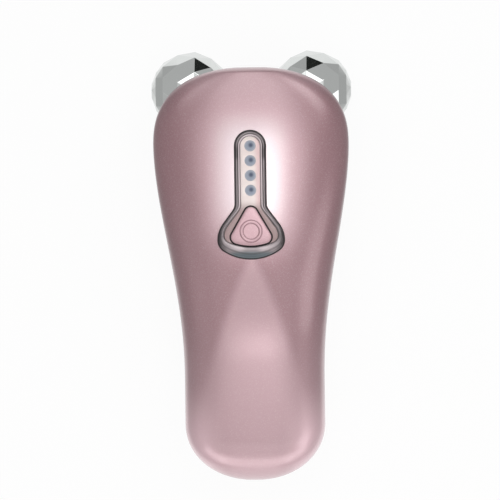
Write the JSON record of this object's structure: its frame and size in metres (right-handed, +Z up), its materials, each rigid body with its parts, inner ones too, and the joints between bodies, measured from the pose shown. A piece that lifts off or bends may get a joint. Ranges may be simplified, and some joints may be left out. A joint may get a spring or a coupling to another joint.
{
  "type": "facial toning device",
  "caption": "Handheld facial toning device: a pearl teardrop handle with free-turning faceted rollers under its head and a keyhole panel with windows and a push button.",
  "frame": {"origin": "centre of the bounding box's bottom, on the table that the device lies on", "axes": "+Y from the tail to the head with the rollers, +Z up and out through the button, +X to the right as the panel is seen with the head up"},
  "size_m": [0.0626, 0.1343, 0.0389],
  "materials": {
    "shell_pearl": "ABS with pale rose pearl paint, glossy",
    "roller_plating": "ABS with bright chrome plating",
    "bezel_smoke": "smoke-grey metallised plastic",
    "panel_face": "cream-pink plastic, satin",
    "window_lens": "clouded blue-grey plastic",
    "white_plastic": "moulded white plastic",
    "led_die": "moulded LED package",
    "dark_plastic": "moulded black plastic",
    "steel": "plain steel",
    "brass": "plain brass",
    "circuit_board": "glass-epoxy board with green mask",
    "coil_winding": "enamelled copper wire on a ferrite core",
    "battery_film": "foil pouch in blue film",
    "foam": "adhesive foam",
    "wire_red": "soft insulation",
    "wire_black": "soft insulation"
  },
  "bodies": {
    "handle": {"front_shell": "shell_pearl", "rear_shell": "shell_pearl", "head_plate": "shell_pearl", "roller_bracket": "dark_plastic", "axle_left": "steel", "axle_right": "steel", "axle_spacers": "white_plastic", "axle_washers": "steel", "axle_screws": "steel", "contact_left": "brass", "contact_right": "brass", "roller_lead_left": "wire_red", "roller_lead_right": "wire_black", "panel_bezel": "bezel_smoke", "panel_plate": "panel_face", "led_window_1": "window_lens", "led_window_2": "window_lens", "led_window_3": "window_lens", "led_window_4": "window_lens", "light_block": "white_plastic", "indicator_led_1": "led_die", "indicator_led_2": "led_die", "indicator_led_3": "led_die", "indicator_led_4": "led_die", "tact_switch": "dark_plastic", "main_board": "circuit_board", "controller_chip": "dark_plastic", "boost_coil": "coil_winding", "battery": "battery_film", "battery_pads": "foam", "battery_leads": "wire_black", "charge_socket": "steel", "socket_board": "circuit_board", "socket_leads": "wire_black", "bracket_screws": "steel", "plate_screws": "steel", "board_screws": "steel", "case_screws": "steel", "screw_plugs": "shell_pearl"},
    "roller_left": {"roller_left": "roller_plating", "bushes_left": "brass", "roller_cap_left": "roller_plating"},
    "roller_right": {"roller_right": "roller_plating", "bushes_right": "brass", "roller_cap_right": "roller_plating"},
    "button": {"button_cap": "shell_pearl", "switch_plunger": "dark_plastic"}
  },
  "joints": [
    {"name": "roller_left_spin", "type": "hinge", "parent": "handle", "child": "roller_left", "pos_m": [-0.01905, 0.0548, 0.0124], "axis": [1, 0, 0], "continuous": true},
    {"name": "roller_right_spin", "type": "hinge", "parent": "handle", "child": "roller_right", "pos_m": [0.01905, 0.0548, 0.0124], "axis": [1, 0, 0], "continuous": true},
    {"name": "button_press", "type": "slide", "parent": "handle", "child": "button", "axis": [0, 0, 1], "range_m": [-0.0005, 0], "stiffness_N_per_m": 2000}
  ]
}
